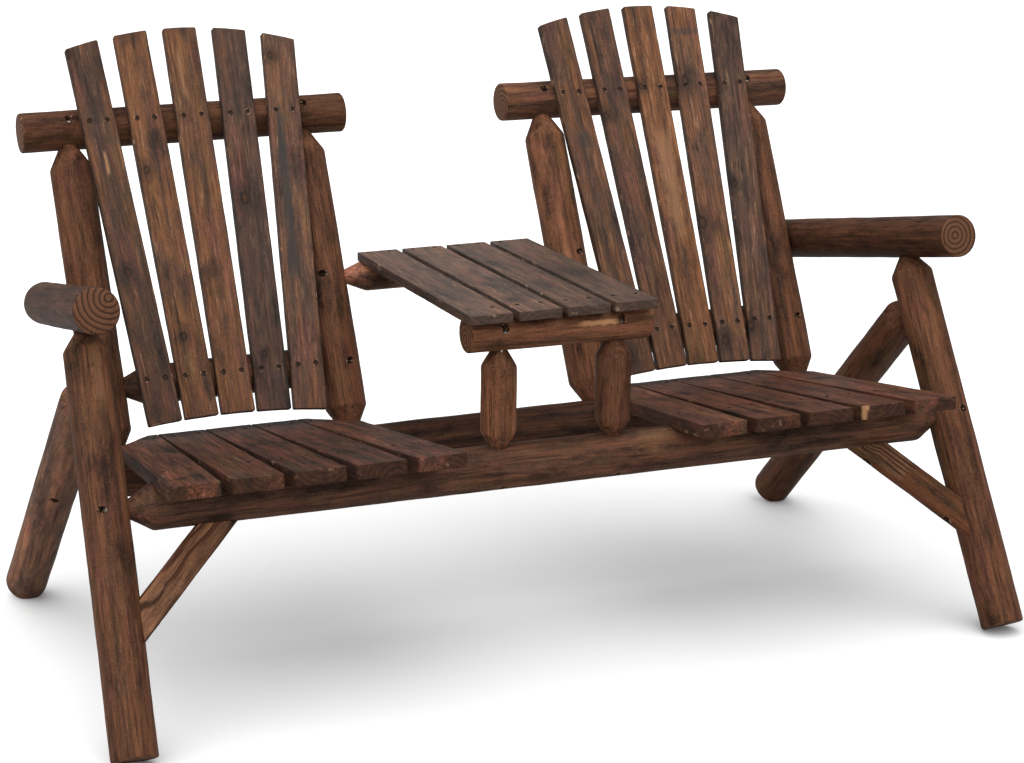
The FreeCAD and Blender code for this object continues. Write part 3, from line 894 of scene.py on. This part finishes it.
def subtract(piece, cutters):
    for cutter in cutters:
        carve = piece.modifiers.new("carve", "BOOLEAN")
        carve.operation = "DIFFERENCE"
        carve.solver = "EXACT"
        carve.object = cutter
        activate(piece)
        bpy.ops.object.modifier_apply(modifier="carve")
        bpy.data.objects.remove(cutter)


def bore(screw, radius):
    """A cutter for the counterbore over a screw's head."""
    side = screw.up.orthogonal().normalized()
    return rod("bore", screw.head, screw.up, side, radius, -BORE_BELOW, BORE_ABOVE, BORE_SIDES)


def draw_cone(piece, radius, sign, end):
    """In edit mode, draw one end of a turned pole out to a cone with a soft shoulder."""
    ring, tip, slope = end
    run = tip - ring + CONE_RUN_ON
    share = (radius - slope * run) / radius
    pick(piece, "FACE", lambda face: face.normal.z * sign > 0.9)
    bpy.ops.mesh.extrude_region_move(TRANSFORM_OT_translate={"value": (0, 0, sign * run)})
    bpy.ops.transform.resize(value=(share, share, 1), center_override=(0, 0, sign * (ring + run)))
    pick(piece, "EDGE", lambda edge: all(abs(vert.co.z - sign * ring) < TOUCH for vert in edge.verts))
    bpy.ops.mesh.bevel(offset=SHOULDER_R, segments=4, profile=0.5)


def turn_pole(node):
    """A pole along its axis, each end coned or cut square with a rounded rim."""
    pole = poles[node]
    coned = [CONE_SLOPES[0] < slope < CONE_SLOPES[1] for ring, tip, slope in pole.ends]
    shaft = [ring if is_coned else tip for is_coned, (ring, tip, slope) in zip(coned, pole.ends)]
    piece = cylinder(f"{node}_wood", pole.radius, -shaft[0], shaft[1], POLE_SIDES)
    edit(piece)
    for sign, is_coned, end in zip((-1, 1), coned, pole.ends):
        if is_coned:
            draw_cone(piece, pole.radius, sign, end)

    def is_rim(edge):
        on_skin = all(vert.co.xy.length > pole.radius - RIM_SLACK for vert in edge.verts)
        return on_skin and edge.calc_face_angle(0) > RIM_ANGLE

    pick(piece, "EDGE", is_rim)
    bpy.ops.mesh.bevel(offset=END_ROUND, segments=3, profile=0.5)
    leave()
    piece.matrix_world = upright(pole.origin, pole.along, pole.side)
    activate(piece)
    bpy.ops.object.transform_apply()
    return piece


def mate_cutter(mate):
    pole = poles[mate]
    radius = pole.radius - COPE_BITE
    return rod("mate", pole.origin, pole.along, pole.side, radius, pole.low, pole.high, POLE_SIDES)


def saw_foot(piece):
    """Saw off the low edge of a leg's square-cut foot at the floor."""
    edit(piece)
    bpy.ops.mesh.select_all(action="SELECT")
    bpy.ops.mesh.bisect(plane_co=(0, 0, 0), plane_no=(0, 0, 1), clear_inner=True, use_fill=True)
    leave()


def heart_of(node, pole):
    """How far the middle of the log lies off a pole's axis, across and through it."""
    chance = random.Random(node)
    heart = [chance.uniform(-0.016, 0.016) for _ in range(2)]
    if node in HEARTS:
        off = Vector(HEARTS[node])
        heart = [-off.dot(pole.side), off.dot(pole.along.cross(pole.side))]
    return heart


def make_pole(node):
    """One pole: turned, coped to its mates, bored for its screws and roughened."""
    pole = poles[node]
    piece = turn_pole(node)
    bores = near(frame_screws, *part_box(node), HEAD_MARGIN)
    bores = [screw for screw in bores if 0.4 * pole.radius < pole.gap(screw.head) < pole.radius]
    subtract(piece, [mate_cutter(mate) for mate in MATES[node]])
    subtract(piece, [bore(screw, FRAME_BORE_R) for screw in bores])
    if node.endswith("_leg"):
        saw_foot(piece)
    length = pole.high - pole.low
    count = int(length / RING_STEP)
    first = pole.origin + pole.along * (pole.low + RING_MARGIN)
    edit(piece)
    cut_across(first, (length - 2 * RING_MARGIN) / count, count + 1, pole.along)
    leave()
    middle = pole.origin + pole.along * (pole.low + pole.high) / 2
    depth = pole.along.cross(pole.side) * -1
    lie = Lie(middle, pole.side, pole.along, depth, (pole.radius, length / 2, pole.radius))
    write_grain(piece, lie, bores, FRAME_BORE_R, heart_of(node, pole), "pole")
    roughen(piece, *POLE_SWELLS)
    roughen(piece, *POLE_LUMPS)
    finish_piece(piece, node, pole_wood)


for node in MATES:
    make_pole(node)


# Braces and boards: worked from the CAD outlines
def board_lie(piece):
    """How a board lies, read from its longest edge and its largest face."""
    mesh = piece.data
    along = longest_edge(mesh)
    if along.dot(Vector((0, 1, 1))) < 0:
        along.negate()
    face = max(mesh.polygons, key=lambda p: p.area)
    depth = face.normal.copy()
    if depth.dot(Vector((0, -0.6, 1))) < 0:
        depth.negate()
    depth = (depth - along * depth.dot(along)).normalized()
    across = along.cross(depth)
    co = points(mesh)
    spread = [co @ np.array(axis) for axis in (across, along, depth)]
    middle = [float(s.max() + s.min()) / 2 for s in spread]
    half = [float(s.max() - s.min()) / 2 for s in spread]
    origin = across * middle[0] + along * middle[1] + depth * middle[2]
    return Lie(origin, across, along, depth, half)


def trim_brace(piece, node):
    """Saw off the part of a brace's low end that would lap over the front of its leg."""
    leg = poles[node.replace("brace", "front_leg")]
    inward = Vector((-1 if node.startswith("right") else 1, 0, 0))
    inward = (inward - leg.along * inward.dot(leg.along)).normalized()
    edit(piece)
    bpy.ops.mesh.select_all(action="SELECT")
    saw_at = leg.origin + inward * (leg.radius - BRACE_LAP)
    bpy.ops.mesh.bisect(plane_co=saw_at, plane_no=inward, clear_inner=True, use_fill=True)
    leave()


def drop_specks(piece):
    """Delete the specks of face that close cuts leave beside the wood itself."""
    edit(piece)
    bpy.ops.mesh.select_all(action="SELECT")
    bpy.ops.mesh.quads_convert_to_tris()
    shape = bmesh.from_edit_mesh(piece.data)
    shape.faces.index_update()
    unseen = set(shape.faces)
    islands = []
    while unseen:
        queue = [unseen.pop()]
        island = set()
        while queue:
            face = queue.pop()
            island.add(face.index)
            for edge in face.edges:
                for other in edge.link_faces:
                    if len(edge.link_faces) == 2 and other in unseen:
                        unseen.remove(other)
                        queue.append(other)
        islands.append(island)
    body = max(islands, key=len)
    pick(piece, "FACE", lambda face: face.index not in body)
    bpy.ops.mesh.delete(type="FACE")
    leave()


def find_bores(piece, node, screw_list, bore_r):
    """The screws whose heads stand in holes of this board."""

    def on_wall(screw, place):
        out, height = beside(screw, place)
        return abs(out - bore_r) < BORE_SLACK and -BORE_SLACK < height < BORE_ABOVE

    close = near(screw_list, *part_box(node), HEAD_MARGIN)
    return [screw for screw in close if any(on_wall(screw, vert.co) for vert in piece.data.vertices)]


def close_holes(piece, node):
    """Take the walls of the screw holes out of a board, and close it over them."""
    holes = near(frame_screws + slat_screws, *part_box(node), HOLE_REACH)

    def is_hole_wall(face):
        for screw in holes:
            spots = [beside(screw, vert.co) for vert in face.verts]
            if all(out < FRAME_BORE_R + HOLE_SLACK and height > -HOLE_REACH for out, height in spots):
                return True
        return False

    edit(piece)
    pick(piece, "FACE", is_hole_wall)
    bpy.ops.mesh.delete(type="FACE")
    bpy.ops.mesh.select_all(action="SELECT")
    bpy.ops.mesh.fill_holes(sides=0)
    bpy.ops.mesh.select_all(action="SELECT")
    bpy.ops.mesh.dissolve_limited(angle_limit=FLAT_ANGLE)
    leave()


def work_corners(piece, lie):
    """Round a board's corners, and cut it into rings and lanes for its unevenness."""
    half_width, half_length = lie.half[:2]
    count = int(2 * half_length / BOARD_STEP)
    lanes = int(2 * half_width / BOARD_LANE)
    lane = 2 * (half_width - RIM_BAND) / lanes
    first = lie.origin - lie.along * (half_length - BOARD_MARGIN)
    second_lane = lie.origin - lie.across * (half_width - RIM_BAND - lane)

    def is_broad(face):
        return abs(face.normal.dot(lie.depth)) > 0.99 and face.calc_area() > BROAD_FACE

    edit(piece)
    pick(piece, "FACE", is_broad)
    bpy.ops.mesh.inset(thickness=RIM_BAND, depth=0)
    pick(piece, "EDGE", lambda edge: edge.calc_face_angle(0) > CORNER_ANGLE)
    bpy.ops.mesh.bevel(offset=BOARD_ROUND, segments=3, profile=0.55)
    cut_across(first, (2 * half_length - 2 * BOARD_MARGIN) / count, count + 1, lie.along)
    cut_across(second_lane, lane, lanes - 1, lie.across)
    leave()


def make_board(node, material, screw_list, bore_r):
    """One board with its CAD outline, its corners worked and its screw holes bored anew."""
    piece = merged_copy(node, f"{node}_wood")
    bores = find_bores(piece, node, screw_list, bore_r)
    close_holes(piece, node)
    if node.endswith("_brace"):
        trim_brace(piece, node)
    lie = board_lie(piece)
    work_corners(piece, lie)
    subtract(piece, [bore(screw, bore_r) for screw in bores])
    if node.endswith("_brace"):
        drop_specks(piece)
    chance = random.Random(node)
    heart = [chance.uniform(-0.03, 0.03), chance.choice((-1, 1)) * chance.uniform(0.02, 0.06)]
    write_grain(piece, lie, bores, bore_r, heart, "board")
    roughen(piece, *BOARD_LUMPS)
    finish_piece(piece, node, material)
    return bores


SLAT_WOODS = {"back_slat": back_wood, "seat_slat": seat_wood, "table_slat": table_wood}
sunk = []
for node in sorted(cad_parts):
    for kind, material in SLAT_WOODS.items():
        if f"{kind}_" in node and "screws" not in node:
            make_board(node, material, slat_screws, SLAT_BORE_R)
    if node.endswith("_brace"):
        sunk += make_board(node, brace_wood, frame_screws, FRAME_BORE_R)


# Screws: the slat screws keep their CAD shape, the frame screws get a cross recess
def make_head():
    """One screw head with a cross recess, its top at the origin."""
    head = cylinder("head", HEAD_R, -HEAD_HEIGHT, 0.0, HEAD_SIDES)
    edit(head)

    def is_top_rim(edge):
        return all(vert.co.z > -TOUCH for vert in edge.verts) and edge.calc_face_angle(0) > RIM_ANGLE

    pick(head, "EDGE", is_top_rim)
    bpy.ops.mesh.bevel(offset=HEAD_ROUND, segments=2)
    leave()
    for turn in (0, math.radians(90)):
        bpy.ops.object.select_all(action="DESELECT")
        bpy.ops.mesh.primitive_cube_add(size=1, scale=RECESS, rotation=(0, 0, turn))
        blade = bpy.context.active_object
        bpy.ops.object.transform_apply()
        subtract(head, [blade])
    return head


def make_screws(node, head):
    """All the screws of one frame group, most heads a little nearer the surface than their seats."""
    parts = []
    for screw in screws[node]:
        side = screw.up.orthogonal().normalized()
        lift = 0 if screw in sunk else HEAD_LIFT
        top = screw.head + screw.up * lift
        copy = bpy.data.objects.new("head", head.data.copy())
        bpy.context.scene.collection.objects.link(copy)
        copy.matrix_world = upright(top, screw.up, side)
        foot = -screw.length - lift
        shank = rod("shank", top, screw.up, side, SHANK_R, foot, -HEAD_HEIGHT, SHANK_SIDES)
        parts += [copy, shank]
    bpy.ops.object.select_all(action="DESELECT")
    for part in parts:
        part.select_set(True)
    bpy.context.view_layer.objects.active = parts[0]
    bpy.ops.object.join()
    piece = bpy.context.active_object
    bpy.ops.object.transform_apply()
    piece.name = f"{node}_steel"
    finish_piece(piece, node, bright_steel)


head = make_head()
for name in screw_nodes:
    if "slat" in name:
        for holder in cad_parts[name].material_slots:
            holder.material = dark_steel
    else:
        make_screws(name, head)
bpy.data.objects.remove(head)

# Floor, light and picture
bpy.ops.object.select_all(action="DESELECT")
bpy.ops.mesh.primitive_plane_add(size=FLOOR_SIZE)
floor = bpy.context.active_object
floor.name = "floor"
f = Finish("pale_floor")
f.feed(Base_Color=(FLOOR_GREY, FLOOR_GREY, FLOOR_GREY, 1), Roughness=0.9)
floor.data.materials.append(f.material)

world = bpy.data.worlds.new("studio")
bpy.context.scene.world = world
world.use_nodes = True
world.node_tree.nodes["Background"].inputs["Color"].default_value = (1, 1, 1, 1)
world.node_tree.nodes["Background"].inputs["Strength"].default_value = SKY_STRENGTH

# One broad lamp overhead, from the front left
lamp_data = bpy.data.lights.new("key", "SUN")
lamp_data.energy = LAMP_POWER
lamp_data.angle = math.radians(LAMP_SPREAD)
lamp = bpy.data.objects.new("key", lamp_data)
bpy.context.scene.collection.objects.link(lamp)
lamp.rotation_euler = (math.radians(LAMP_TILT), 0, math.radians(LAMP_TURN))
bpy.context.scene.view_settings.view_transform = "Standard"
